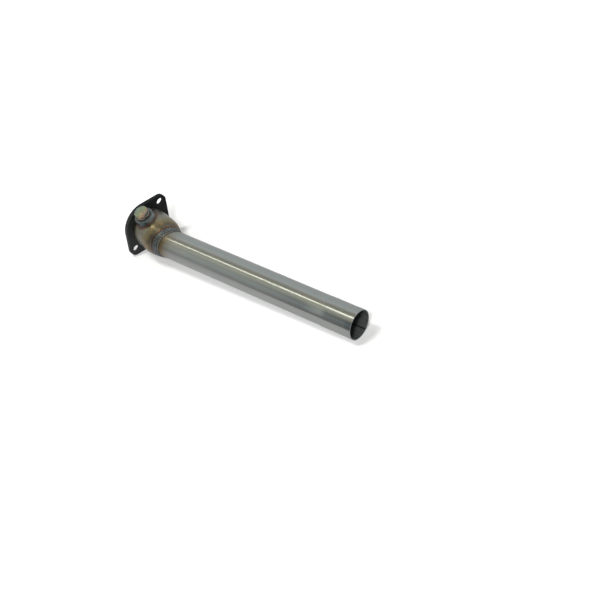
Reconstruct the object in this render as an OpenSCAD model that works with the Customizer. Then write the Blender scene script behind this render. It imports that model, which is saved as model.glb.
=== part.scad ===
// Front exhaust pipe: a two-bolt flange, a domed body, a plugged sensor boss and a straight tube.
// The sealing face's centre is the origin. +X runs along the tube in plan, and +Z is up.
// The pipe lies as it comes to rest, on one straight side of the flange and the tube's free end.

/* [Flange] */
// Thickness of the flange plate
flange_t = 8; // [6:0.5:10]
// Radius of the plate's middle round
lobe_r = 44; // [40:0.5:53]
// Radius of the plate round each bolt hole
ear_r = 12.5; // [10:0.5:16]
// Distance between the two bolt holes
hole_gap = 92; // [84:1:112]
// Diameter of each bolt hole
hole_d = 13.5; // [8.5:0.5:15]

/* [Domed body] */
// Outer diameter of the body's barrel
body_d = 69; // [58:1:80]
// Wall of the body
body_wall = 2; // [1.5:0.1:2.5]
// How far the body's mouth is drawn in where it meets the flange
mouth_drop = 3.4; // [2.5:0.1:5]
// Length of the rounded shoulder behind the flange
shoulder_len = 14; // [10:0.5:18]
// Length of the straight barrel after the shoulder
barrel_len = 24; // [16:1:32]
// Radius of the dome's arc along the body
dome_arc_r = 60; // [50:1:75]
// How much smaller the flange's gas hole is than the body's mouth, in radius
port_step = 1.4; // [1.4:0.1:3]
// Lean of the body away from the flange's axis, towards -Y
body_lean = 4; // [0:0.5:5]

/* [Tube] */
// Outer diameter of the tube
tube_d = 49.4; // [42:0.2:60]
// Outer diameter of the free end, sized for a clamped sleeve
end_d = 50; // [42.6:0.2:60.6]
// Length of the sized end
end_len = 60; // [40:5:80]
// Wall of the tube
tube_wall = 1.5; // [1.2:0.1:1.8]
// Length from the bend point to the free end
tube_len = 395; // [250:1:600]
// Angle of the tube to the flange's axis, towards +Y
tube_turn = 10.8; // [5:0.1:13]
// Angle of the joint's plane to the flange's axis, towards -Y
joint_lean = 9.5; // [6:0.1:11]
// Distance from the joint's plane on to the bend point
joint_back = 5; // [3:0.5:7]
// Mean step from the tube out to the dome's mouth, in radius
joint_step = 1.7; // [1.5:0.1:2]

/* [Sensor boss and plug] */
// Diameter of the boss
boss_d = 34; // [28:0.5:36]
// Height of the boss above the barrel
boss_h = 8.5; // [7.5:0.5:15]
// Clear distance from the flange's front face to the boss's side
boss_clear = 5; // [5:0.5:9]
// Turn of the boss from the top of the body, towards -Y
boss_roll = 18; // [0:1:40]
// Thread diameter of the plug
thread_d = 18; // [14:1:18]
// Hexagon of the plug across its flats
hex_af = 22; // [20:1:24]
// Height of the plug's hexagon
hex_h = 5; // [4:0.5:10]
// Height of the plug's round collar below the hexagon
collar_h = 4.4; // [1.2:0.2:6]
// Thickness of the sealing ring
ring_t = 1.2; // [1:0.1:2]
// Running gap between the plug's thread and the boss
thread_gap = 0.1; // [0.05:0.05:0.2]

/* [Weld beads] */
// Width of the tube's bead on the dome's side of the joint
seam_dome_w = 3.8; // [3:0.1:5]
// Width of the tube's bead on the tube's side of the joint
seam_tube_w = 4.2; // [3.5:0.1:5]
// Height of the tube's bead above the metal
seam_h = 1.7; // [1:0.1:2.2]
// Width of the low second run on the tube
toe_w = 4.4; // [2:0.1:5]
// Height of the low second run
toe_h = 0.7; // [0.4:0.1:1]
// Leg of the fillet bead round the flange joint
flange_leg = 2.2; // [1.8:0.1:4]
// Leg of the fillet bead round the boss
boss_leg = 1.8; // [1.6:0.1:3.5]
// Length of one ripple of a bead
ripple_len = 4.2; // [3.6:0.1:6]
// Height of one ripple of a bead
ripple_h = 0.28; // [0.1:0.02:0.4]

/* [Hidden] */
$fn = 96;
over = 1;
skin = 0.03;
blank = 200;
steps_a_ripple = 3;

body_r = body_d / 2;
tube_r = tube_d / 2;
end_r = end_d / 2;
boss_r = boss_d / 2;
boss_at = boss_clear + boss_r;
mouth_r = body_r - mouth_drop;
port_r = mouth_r - body_wall - port_step;

// The shoulder and the dome are arcs that run smoothly into the barrel.
shoulder_arc_r = (shoulder_len * shoulder_len + mouth_drop * mouth_drop) / (2 * mouth_drop);
dome_start = shoulder_len + barrel_len;
joint_mouth_r = tube_r + joint_step;
joint_at = dome_start + sqrt(pow(dome_arc_r, 2) - pow(joint_mouth_r - body_r + dome_arc_r, 2));
bend_at = joint_at + joint_back;
bend_point = [flange_t + bend_at * cos(body_lean), -bend_at * sin(body_lean), 0];
joint_point = bend_point - joint_back * [cos(joint_lean), -sin(joint_lean), 0];
tube_end = bend_point + tube_len * [cos(tube_turn), sin(tube_turn), 0];

// One straight side of the plate lies flat on the floor, so the bolt holes' line is rolled by this much.
side_angle = asin((lobe_r - ear_r) / (hole_gap / 2));
ear_roll = 90 - side_angle;

// The pitch that brings the tube's free end down to the floor, and the yaw that lays the tube along X.
reach = norm([tube_end.x - flange_t, lobe_r]);
rest_pitch = atan(lobe_r / (tube_end.x - flange_t)) - asin(end_r / reach);
rest_yaw = -atan2(sin(tube_turn), cos(tube_turn) * cos(rest_pitch));

corner_r = hex_af / 2 / cos(30);
ring_r = corner_r + 0.6;
head_base = body_r + boss_h + ring_t;
plug_len = 10;
chamfer = 0.8;
cavity_d = thread_d + 2;

// The sized end widens over this length.
end_taper = 3;

// The tube is rolled from sheet: its lengthwise seam shows inside as a low flat ridge, turned from
// the tube's underside towards +Y.
seam_ridge_h = 0.3;
seam_ridge_angle = 4;
seam_turn = 32;

// Radius of the body's outside at a distance s from the flange along its axis
function body_radius(s) =
    s < shoulder_len ? body_r - shoulder_arc_r + sqrt(pow(shoulder_arc_r, 2) - pow(shoulder_len - s, 2)) :
    s < dome_start ? body_r :
    body_r - dome_arc_r + sqrt(pow(dome_arc_r, 2) - pow(s - dome_start, 2));

// A point's distance along and from an axis that starts at a point and runs in a direction
function along(p, start, dir) = (p - start) * dir;
function away(p, start, dir) = norm(p - start - along(p, start, dir) * dir);

body_start = [flange_t, 0, 0];
body_dir = [cos(body_lean), -sin(body_lean), 0];
tube_dir = [cos(tube_turn), sin(tube_turn), 0];

// Radius, from a centre in a direction, of the body's or the tube's outside: each try corrects the last
function body_hit(centre, ray, r, tries = 12) =
    tries == 0 ? r :
    let (p = centre + r * ray,
         miss = body_radius(along(p, body_start, body_dir)) - away(p, body_start, body_dir))
    body_hit(centre, ray, r + miss, tries - 1);
function tube_hit(centre, ray, r, tries = 12) =
    tries == 0 ? r :
    tube_hit(centre, ray, r + tube_r - away(centre + r * ray, bend_point, tube_dir), tries - 1);

// Frames whose +Z runs along the body, along the tube, out of the joint's plane and out of the boss
module on_body() {
    translate(body_start) rotate([0, 0, -body_lean]) rotate([0, 90, 0]) children();
}

module on_tube() {
    translate(bend_point) rotate([0, 0, tube_turn]) rotate([0, 90, 0]) children();
}

module on_joint() {
    translate(joint_point) rotate([0, 0, -joint_lean]) rotate([0, 90, 0]) children();
}

module on_boss() {
    on_body() translate([0, 0, boss_at]) rotate([0, 0, boss_roll]) rotate([0, -90, 0]) children();
}

// Lays the pipe down on the flange's straight side and the tube's free end
module at_rest() {
    rotate([0, 0, rest_yaw]) rotate([0, rest_pitch, 0]) children();
}

// Plate outline: the middle round, two ears and the straight sides that touch them
module flange_outline() {
    touch = [sin(side_angle), cos(side_angle)];
    ear = [hole_gap / 2, 0];
    far = ear + ear_r * touch;
    near = lobe_r * touch;
    circle(r = lobe_r);
    for (side = [-1, 1]) translate(side * ear) circle(r = ear_r);
    polygon([far, near, [-near.x, near.y], [-far.x, far.y],
             -far, -near, [near.x, -near.y], [far.x, -far.y]]);
}

module flange_plate() {
    color([0.07, 0.07, 0.08])
    rotate([0, 90, 0]) rotate([0, 0, -ear_roll]) linear_extrude(flange_t) difference() {
        flange_outline();
        circle(r = port_r);
        for (side = [-1, 1]) translate([side * hole_gap / 2, 0]) circle(d = hole_d);
    }
}

// Half section of the body, thinner by inset on every side
module body_section(inset = 0) {
    mouth_end = -shoulder_len / 2;
    intersection() {
        translate([body_r - shoulder_arc_r, shoulder_len]) circle(r = shoulder_arc_r - inset);
        translate([0, mouth_end]) square([body_r - inset, shoulder_len - mouth_end]);
    }
    translate([0, shoulder_len]) square([body_r - inset, barrel_len]);
    intersection() {
        translate([body_r - dome_arc_r, dome_start]) circle(r = dome_arc_r - inset);
        translate([0, dome_start]) square([body_r - inset, bend_at - dome_start + joint_back]);
    }
}

module body_solid() {
    on_body() rotate_extrude() body_section();
}

module domed_body() {
    color([0.62, 0.56, 0.46])
    difference() {
        body_solid();
        on_body() rotate_extrude() body_section(body_wall);
        translate([flange_t - blank, -blank / 2, -blank / 2]) cube(blank);
        on_joint() translate([-blank / 2, -blank / 2, 0]) cube(blank);
        on_boss() cylinder(d = cavity_d, h = body_r + over);
    }
}

// Half section of a ring round the tube's axis, which widens at the sized end: from one depth below the
// tube's outside to another, up to a distance from the bend point
module tube_section(shallow, deep, last) {
    taper_start = tube_len - end_len - end_taper;
    polygon([[tube_r - shallow, -tube_d], [tube_r - shallow, taper_start],
             [end_r - shallow, tube_len - end_len], [end_r - shallow, last],
             [end_r - deep, last], [end_r - deep, tube_len - end_len],
             [tube_r - deep, taper_start], [tube_r - deep, -tube_d]]);
}

module straight_tube() {
    color([0.68, 0.68, 0.67])
    difference() {
        on_tube() {
            rotate_extrude() tube_section(0, tube_wall, tube_len);
            rotate([0, 0, seam_turn]) rotate_extrude(angle = seam_ridge_angle)
                tube_section(tube_wall / 2, tube_wall + seam_ridge_h, tube_len - 1);
        }
        on_joint() translate([-blank / 2, -blank / 2, -blank]) cube(blank);
    }
}

module sensor_boss() {
    top = body_r + boss_h;
    color([0.45, 0.46, 0.47])
    difference() {
        on_boss() {
            cylinder(r = boss_r, h = top - chamfer);
            translate([0, 0, top - chamfer]) cylinder(r1 = boss_r, r2 = boss_r - chamfer, h = chamfer);
        }
        body_solid();
        on_boss() cylinder(d = thread_d, h = top + over);
    }
}

module sealing_ring() {
    color([0.72, 0.45, 0.28])
    on_boss() translate([0, 0, body_r + boss_h]) difference() {
        cylinder(r = ring_r, h = ring_t);
        translate([0, 0, -over]) cylinder(d = thread_d, h = ring_t + 2 * over);
    }
}

module hex_plug() {
    top_r = hex_af / 2 * 0.95;
    cone_h = (corner_r - top_r) * tan(30);
    color([0.72, 0.68, 0.42])
    on_boss() {
        translate([0, 0, head_base - plug_len - ring_t]) cylinder(r = thread_d / 2 - thread_gap, h = plug_len + ring_t);
        translate([0, 0, head_base]) cylinder(r = corner_r, h = collar_h);
        translate([0, 0, head_base + collar_h]) intersection() {
            cylinder(r = corner_r, h = hex_h, $fn = 6);
            union() {
                cylinder(r = corner_r + over, h = hex_h - cone_h);
                translate([0, 0, hex_h - cone_h]) cylinder(r1 = corner_r, r2 = top_r, h = cone_h);
            }
        }
    }
}

// Joins the sections of a bead, one a station round the ring, into one closed solid
module bead_ring(sections) {
    rounds = len(sections);
    points = len(sections[0]);
    polyhedron(
        points = [for (section = sections) each section],
        faces = [for (i = [0 : rounds - 1], j = [0 : points - 1])
            let (next_i = (i + 1) % rounds, next_j = (j + 1) % points)
            each [[i * points + j, next_i * points + j, next_i * points + next_j],
                  [i * points + j, next_i * points + next_j, i * points + next_j]]]);
}

// Stations round a bead of a given radius, and the height of its ripple at one of them
function stations(r) = steps_a_ripple * round(2 * PI * r / ripple_len);
function ripple(i) = ripple_h * (i % steps_a_ripple) / (steps_a_ripple - 1);

// Fillet bead's crown between two toes, bulged away from the corner
function fillet_crown(corner, toe_a, toe_b, swell) =
    [for (share = [0.25, 0.5, 0.75])
        let (flat = toe_a + share * (toe_b - toe_a), out = (toe_a + toe_b) / 2 - corner)
        flat + out / norm(out) * swell * sin(180 * share)];

module flange_weld() {
    count = stations(mouth_r);
    swell = flange_leg / 5;
    color([0.34, 0.30, 0.27])
    bead_ring([for (i = [0 : count - 1])
        let (ray = [0, cos(360 * i / count), sin(360 * i / count)],
             base = [flange_t + skin, 0, 0],
             front = [flange_t + flange_leg, 0, 0],
             corner = base + (body_hit(base, ray, mouth_r) + skin) * ray,
             middle = [flange_t + flange_leg / 2, 0, 0],
             toe_plate = corner + flange_leg * ray,
             under = middle + (body_hit(middle, ray, mouth_r) + skin) * ray,
             toe_body = front + (body_hit(front, ray, mouth_r) + skin) * ray)
        concat([toe_plate], fillet_crown(corner, toe_plate, toe_body, swell + ripple(i)), [toe_body, under, corner])]);
}

// Point on the body's outside below the boss's frame, at a radius and a turn from the boss's axis
function boss_frame(x, y, z) =
    let (up = [0, -sin(boss_roll), cos(boss_roll)], side = [0, cos(boss_roll), sin(boss_roll)])
    [boss_at + x, side.y * y + up.y * z, side.z * y + up.z * z];
function barrel_height(x, y) = sqrt(pow(body_radius(boss_at + x), 2) - y * y);

module boss_weld() {
    count = stations(boss_r + boss_leg);
    swell = boss_leg / 5;
    color([0.40, 0.36, 0.31])
    translate(body_start) rotate([0, 0, -body_lean])
    bead_ring([for (i = [0 : count - 1])
        let (turn = -360 * i / count,
             in = boss_r + skin,
             out = boss_r + boss_leg,
             low_in = barrel_height(in * cos(turn), in * sin(turn)) + skin,
             low_out = barrel_height(out * cos(turn), out * sin(turn)) + skin,
             corner = boss_frame(in * cos(turn), in * sin(turn), low_in),
             toe_boss = boss_frame(in * cos(turn), in * sin(turn), low_in + boss_leg),
             toe_body = boss_frame(out * cos(turn), out * sin(turn), low_out))
        concat([toe_boss], fillet_crown(corner, toe_boss, toe_body, swell + ripple(i)), [toe_body, corner])]);
}

// Section of the bead between the dome and the tube: a wide run over the joint and a narrow one on the tube
module tube_weld() {
    count = stations(joint_mouth_r);
    out_dir = [cos(joint_lean), -sin(joint_lean), 0];
    cross_dir = [sin(joint_lean), cos(joint_lean), 0];
    color([0.46, 0.47, 0.48])
    bead_ring([for (i = [0 : count - 1])
        let (turn = 360 * i / count,
             ray = cos(turn) * cross_dir + [0, 0, sin(turn)],
             lift = ripple(i),
             tube_point = function (z, h) let (c = joint_point + z * out_dir)
                 c + (tube_hit(c, ray, tube_r) + skin + h) * ray,
             dome_point = function (z, h) let (c = joint_point + z * out_dir)
                 c + (body_hit(c, ray, joint_mouth_r) + skin + h) * ray,
             mid_tube = tube_hit(joint_point, ray, tube_r),
             mid_dome = body_hit(joint_point, ray, joint_mouth_r),
             mid_top = max(mid_tube, mid_dome) + seam_h + lift)
        [tube_point(seam_tube_w + toe_w, 0),
         tube_point(seam_tube_w + toe_w * 0.85, toe_h * 0.8),
         tube_point(seam_tube_w + toe_w * 0.4, toe_h),
         tube_point(seam_tube_w + toe_w * 0.08, toe_h * 0.5),
         tube_point(seam_tube_w * 0.75, seam_h * 0.75 + lift),
         joint_point + seam_tube_w * 0.3 * out_dir + mid_top * ray,
         joint_point - seam_dome_w * 0.3 * out_dir + mid_top * ray,
         dome_point(-seam_dome_w * 0.75, seam_h * 0.7 + lift),
         dome_point(-seam_dome_w, 0),
         dome_point(-seam_dome_w / 2, 0),
         joint_point + skin * out_dir + (mid_dome + skin) * ray,
         joint_point + skin * out_dir + (mid_tube + skin) * ray,
         tube_point(seam_tube_w / 2, 0)]]);
}

at_rest() flange_plate();
at_rest() domed_body();
at_rest() flange_weld();
at_rest() straight_tube();
at_rest() tube_weld();
at_rest() sensor_boss();
at_rest() boss_weld();
at_rest() sealing_ring();
at_rest() hex_plug();
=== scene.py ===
import math

import bmesh
import bpy
import numpy as np
from mathutils import Matrix, Vector


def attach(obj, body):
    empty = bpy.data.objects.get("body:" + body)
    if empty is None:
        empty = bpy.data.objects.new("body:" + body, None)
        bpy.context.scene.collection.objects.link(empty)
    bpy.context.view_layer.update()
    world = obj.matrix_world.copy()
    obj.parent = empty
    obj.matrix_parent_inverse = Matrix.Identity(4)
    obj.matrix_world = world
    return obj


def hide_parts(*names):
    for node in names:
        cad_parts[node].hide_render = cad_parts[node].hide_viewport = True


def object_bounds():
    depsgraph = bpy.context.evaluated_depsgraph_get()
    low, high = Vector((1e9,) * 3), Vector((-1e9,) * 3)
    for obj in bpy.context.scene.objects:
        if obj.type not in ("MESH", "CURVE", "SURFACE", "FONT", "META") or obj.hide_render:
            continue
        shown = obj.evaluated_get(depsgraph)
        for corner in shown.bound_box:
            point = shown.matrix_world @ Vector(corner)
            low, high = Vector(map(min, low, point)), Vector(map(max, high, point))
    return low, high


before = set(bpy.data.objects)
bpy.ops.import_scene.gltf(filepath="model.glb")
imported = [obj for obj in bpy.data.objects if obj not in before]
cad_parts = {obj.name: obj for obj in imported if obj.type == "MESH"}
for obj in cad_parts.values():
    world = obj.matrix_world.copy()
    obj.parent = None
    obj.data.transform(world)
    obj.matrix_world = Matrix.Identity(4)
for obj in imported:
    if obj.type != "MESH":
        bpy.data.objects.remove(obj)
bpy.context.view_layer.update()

# Sizes in millimetres and degrees, the same as in part.scad
MM = 0.001
flange_t = 8.0
lobe_r = 44.0
ear_r = 12.5
hole_gap = 92.0
hole_d = 13.5
body_d = 69.0
body_wall = 2.0
mouth_drop = 3.4
shoulder_len = 14.0
barrel_len = 24.0
dome_arc_r = 60.0
port_step = 1.4
body_lean = 4.0
tube_d = 49.4
end_d = 50.0
end_len = 60.0
end_taper = 3.0
tube_wall = 1.5
tube_len = 395.0
tube_turn = 10.8
joint_lean = 9.5
joint_back = 5.0
joint_step = 1.7
boss_d = 34.0
boss_h = 8.5
boss_clear = 5.0
boss_roll = 18.0
thread_d = 18.0
hex_af = 22.0
hex_h = 5.0
collar_h = 4.4
ring_t = 1.2
plug_len = 10.0
seam_dome_w = 3.8
seam_tube_w = 4.2
seam_h = 1.7
toe_w = 4.4
toe_h = 0.7
flange_leg = 2.2
boss_leg = 1.8

body_r = body_d / 2
tube_r = tube_d / 2
end_r = end_d / 2
boss_r = boss_d / 2
boss_at = boss_clear + boss_r
corner_r = hex_af / 2 / math.cos(math.radians(30))
mouth_r = body_r - mouth_drop
port_r = mouth_r - body_wall - port_step
shoulder_arc_r = (shoulder_len ** 2 + mouth_drop ** 2) / (2 * mouth_drop)
dome_start = shoulder_len + barrel_len
joint_mouth_r = tube_r + joint_step
joint_at = dome_start + math.sqrt(dome_arc_r ** 2 - (joint_mouth_r - body_r + dome_arc_r) ** 2)
bend_at = joint_at + joint_back


# Level direction at an angle from straight ahead
def heading(degrees):
    return np.array([math.cos(math.radians(degrees)), math.sin(math.radians(degrees)), 0.0])


UP = np.array([0.0, 0.0, 1.0])
AHEAD = np.array([1.0, 0.0, 0.0])
body_start = flange_t * AHEAD
body_dir = heading(-body_lean)
tube_dir = heading(tube_turn)
joint_dir = heading(-joint_lean)
joint_cross = heading(90 - joint_lean)
bend_point = body_start + bend_at * body_dir
joint_point = bend_point - joint_back * joint_dir
tube_end = bend_point + tube_len * tube_dir
body_side = np.cross(UP, body_dir)
boss_dir = math.cos(math.radians(boss_roll)) * UP - math.sin(math.radians(boss_roll)) * body_side
boss_foot = body_start + boss_at * body_dir

side_angle = math.asin((lobe_r - ear_r) / (hole_gap / 2))
reach = math.hypot(tube_end[0] - flange_t, lobe_r)
rest_pitch = math.atan(lobe_r / (tube_end[0] - flange_t)) - math.asin(end_r / reach)
rest_yaw = -math.atan2(tube_dir[1], tube_dir[0] * math.cos(rest_pitch))
rest = np.array(Matrix.Rotation(rest_yaw, 3, "Z") @ Matrix.Rotation(rest_pitch, 3, "Y"))


# Radius of the body's outside at a distance from the flange along its axis, thinner by inset
def body_radius(s, inset=0.0):
    s = np.asarray(s, float)
    shoulder = body_r - shoulder_arc_r + np.sqrt(
        np.maximum((shoulder_arc_r - inset) ** 2 - (shoulder_len - s) ** 2, 0))
    dome = body_r - dome_arc_r + np.sqrt(
        np.maximum((dome_arc_r - inset) ** 2 - (s - dome_start) ** 2, 0))
    return np.where(s < shoulder_len, shoulder, np.where(s < dome_start, body_r - inset, dome))


# Tries of each search for a surface, more than enough for its error to vanish
search_tries = 14
cut_tries = 30


# Radius from centres along rays to the body's outside: each try corrects the last
def body_hit(centres, rays, first):
    r = np.full(len(rays), float(first))
    for _ in range(search_tries):
        p = centres + r[:, None] * rays - body_start
        along = p @ body_dir
        away = np.linalg.norm(p - along[:, None] * body_dir, axis=1)
        r = r + body_radius(along) - away
    return r


# The same to the tube's outside
def tube_hit(centres, rays, first):
    r = np.full(len(rays), float(first))
    for _ in range(search_tries):
        p = centres + r[:, None] * rays - bend_point
        along = p @ tube_dir
        r = r + tube_r - np.linalg.norm(p - along[:, None] * tube_dir, axis=1)
    return r


# Angles spread evenly over one turn
def full_turn(count):
    return np.linspace(0, 2 * np.pi, count, endpoint=False)


# Directions round an axis, from one that is square to it
def round_axis(along, out, count):
    turn = full_turn(count)
    return np.cos(turn)[:, None] * out + np.sin(turn)[:, None] * np.cross(along, out)


# Object for a mesh, a lamp or a camera, put into the scene
def add_object(name, data):
    thing = bpy.data.objects.new(name, data)
    bpy.context.scene.collection.objects.link(thing)
    return thing


# Smooth object for a mesh, whose edges above an angle stay sharp
def add_smooth(name, mesh, sharp):
    mesh.shade_smooth()
    mesh.set_sharp_from_angle(angle=math.radians(sharp))
    return add_object(name, mesh)


# Piece from points in the pipe's own frame, before it is laid down
def add_piece(name, points, faces, sharp):
    points = np.asarray(points, float).reshape(-1, 3)
    mesh = bpy.data.meshes.new(name)
    mesh.from_pydata((points @ rest.T * MM).tolist(), [], faces)
    mesh.update()
    return add_smooth(name, mesh, sharp)


# Faces between rows of points that each close on themselves; the last row may join the first
def grid_faces(rows, columns, closed_rows=True):
    faces = []
    last = rows if closed_rows else rows - 1
    for i in range(last):
        for j in range(columns):
            a = i * columns + j
            b = i * columns + (j + 1) % columns
            c = (i + 1) % rows * columns + (j + 1) % columns
            d = (i + 1) % rows * columns + j
            faces.append((a, b, c, d))
    return faces


# Solid of revolution from a closed profile of distances along and out from an axis
def revolve(name, profile, start, along, out, count, sharp):
    ring = round_axis(along, out, count)
    points = [start + s * along + r * ring for s, r in profile]
    return add_piece(name, np.concatenate(points), grid_faces(len(profile), count), sharp)


# Stores each point's place in millimetres along and across an axis, for the materials
def record_places(piece, start, along, out):
    mesh = piece.data
    flat = np.empty(len(mesh.vertices) * 3)
    mesh.vertices.foreach_get("co", flat)
    p = flat.reshape(-1, 3) / MM @ rest - start
    places = np.stack([p @ along, p @ out, p @ np.cross(along, out)], 1)
    layer = mesh.attributes.new("place", "FLOAT_VECTOR", "POINT")
    layer.data.foreach_set("vector", places.ravel())


# Stores one number a point, such as the height of a bead's ripples, for the materials
def record_levels(piece, name, values):
    layer = piece.data.attributes.new(name, "FLOAT", "POINT")
    layer.data.foreach_set("value", np.asarray(values, float).ravel())


# Arc of a rounded edge or an outline, as points between two angles about a centre
def arc(cx, cy, r, a0, a1, count=5):
    turns = np.radians(np.linspace(a0, a1, count))
    return [(cx + r * math.cos(t), cy + r * math.sin(t)) for t in turns]


# Flange plate: the outline of arcs and straight sides with a rounded rim, and holes with near-sharp rims
def build_flange():
    side = math.degrees(side_angle)

    def outline(grow):
        points = arc(hole_gap / 2, 0, ear_r + grow, side - 90, 90 - side, 40)
        points += arc(0, 0, lobe_r + grow, 90 - side, 90 + side, 60)
        points += arc(-hole_gap / 2, 0, ear_r + grow, 90 + side, 270 - side, 40)
        return points + arc(0, 0, lobe_r + grow, 270 - side, 270 + side, 60)

    def circle(x, r, count):
        return lambda grow: arc(x, 0, r - grow, 0, 360 - 360 / count, count)

    plate_rim = 0.9
    port_rim = 0.4
    hole_rim = 0.15
    loops = [(outline, plate_rim), (circle(0, port_r, 120), port_rim)]
    for sign in (1, -1):
        loops.append((circle(sign * hole_gap / 2, hole_d / 2, 64), hole_rim))
    # the outline's X runs through both bolt holes' centres, and its Y square to that in the plate
    ear = np.array([0.0, math.cos(side_angle), math.sin(side_angle)])
    over = np.array([0.0, -math.sin(side_angle), math.cos(side_angle)])
    model = bmesh.new()
    caps = ([], [])
    for loop, rim in loops:
        lean = np.radians(np.linspace(0, 90, 6))
        edge = [(-rim * (1 - math.sin(a)), rim * (1 - math.cos(a))) for a in lean]
        levels = [(grow, h) for grow, h in edge] + [(grow, flange_t - h) for grow, h in edge[::-1]]
        rows = []
        for grow, h in levels:
            spots = [(h * AHEAD + x * ear + y * over) @ rest.T * MM for x, y in loop(grow)]
            rows.append([model.verts.new(spot.tolist()) for spot in spots])
        count = len(rows[0])
        for low, high in zip(rows, rows[1:]):
            for j in range(count):
                k = (j + 1) % count
                model.faces.new((low[j], low[k], high[k], high[j]))
        for cap, row in zip(caps, (rows[0], rows[-1])):
            cap += [model.edges.get((row[j], row[(j + 1) % count])) for j in range(count)]
    for cap in caps:
        bmesh.ops.triangle_fill(model, use_beauty=True, edges=cap)
    bmesh.ops.recalc_face_normals(model, faces=model.faces[:])
    mesh = bpy.data.meshes.new("flange_look")
    model.to_mesh(mesh)
    model.free()
    piece = add_smooth("flange_look", mesh, 40)
    weighted = piece.modifiers.new("flat faces", "WEIGHTED_NORMAL")
    weighted.keep_sharp = True
    return piece


# Domed body: outside and inside shells of revolution that end at the joint's oblique plane
def build_body():
    count = 320
    ring = round_axis(body_dir, UP, count)
    slope = joint_dir @ body_dir

    def at(s, inset):
        return body_start + s[:, None] * body_dir + body_radius(s, inset)[:, None] * ring

    def mouth(inset):
        # the body starts on the flange's flat face
        s = np.zeros(count)
        for _ in range(cut_tries):
            s = s - (at(s, inset) - body_start)[:, 0] / body_dir[0]
        return s

    def neck(inset):
        s = np.full(count, joint_at)
        for _ in range(cut_tries):
            s = s - (at(s, inset) - joint_point) @ joint_dir / slope
        return s

    rows = []
    for inset, shares in ((0.0, np.linspace(0, 1, 110)), (body_wall, np.linspace(1, 0, 50))):
        first = mouth(inset)
        last = neck(inset)
        for share in shares:
            rows.append(at(first + share * (last - first), inset))
    return add_piece("body_look", np.concatenate(rows), grid_faces(len(rows), count), 50)


# The lengthwise seam of the rolled tube, seen inside as a low flat ridge
seam_turn = 214.4
seam_ridge_h = 0.3
seam_ridge_w = 1.6
seam_flank = 0.5


# Tube: its joint end is cut by the joint's plane, and its free end is square with broken edges
def build_tube():
    count = 400
    turn = full_turn(count)
    ring = round_axis(tube_dir, UP, count)
    slope = joint_dir @ tube_dir
    edge = 0.25
    taper_start = tube_len - end_len - end_taper

    def widened(s):
        return (end_r - tube_r) * min(max((s - taper_start) / end_taper, 0.0), 1.0)

    def cut(r):
        offset = r * ring @ joint_dir
        return (-(bend_point - joint_point) @ joint_dir - offset) / slope

    away = np.abs(np.angle(np.exp(1j * (turn - math.radians(seam_turn))))) * (tube_r - tube_wall)
    ridge = seam_ridge_h * np.clip((seam_ridge_w / 2 + seam_flank / 2 - away) / seam_flank, 0, 1)
    depth = tube_wall + ridge

    def row(s, inset):
        r = np.asarray(tube_r + widened(s) - inset)
        return bend_point + s * tube_dir + np.reshape(r, (-1, 1)) * ring

    stations = list(np.linspace(20, taper_start, 12)) + [tube_len - end_len] + \
        list(np.linspace(tube_len - end_len + 12, tube_len - edge, 5))
    rows = [bend_point + cut(tube_r)[:, None] * tube_dir + tube_r * ring]
    rows += [row(s, 0.0) for s in stations]
    rows.append(row(tube_len - edge * 0.3, edge * 0.3))
    rows.append(row(tube_len, edge))
    rows.append(row(tube_len, depth - edge))
    rows.append(row(tube_len - edge * 0.3, depth - edge * 0.3))
    rows += [row(s, depth) for s in stations[::-1]]
    inner = tube_r - tube_wall
    rows.append(bend_point + cut(inner)[:, None] * tube_dir + (tube_r - depth)[:, None] * ring)
    return add_piece("tube_look", np.concatenate(rows), grid_faces(len(rows), count), 50)


# Ripples of a hand-laid bead: overlapping crescents that bow back, at uneven steps round the bead.
# Each rises slowly from 0 to 1 and drops fast into the next.
def ripple(turn, share, count, seed):
    wander = 0.25 * np.sin(3.1 * turn + seed) + 0.18 * np.sin(7.3 * turn + 2 * seed)
    bow = 0.9 * (1 - (2 * share - 1) ** 2)
    phase = (turn * count / (2 * np.pi) + wander * 0.6 - bow) % 1.0
    return np.clip(phase * 1.25, 0, 1) ** 0.6 * np.clip((1 - phase) * 8, 0, 1)


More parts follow.
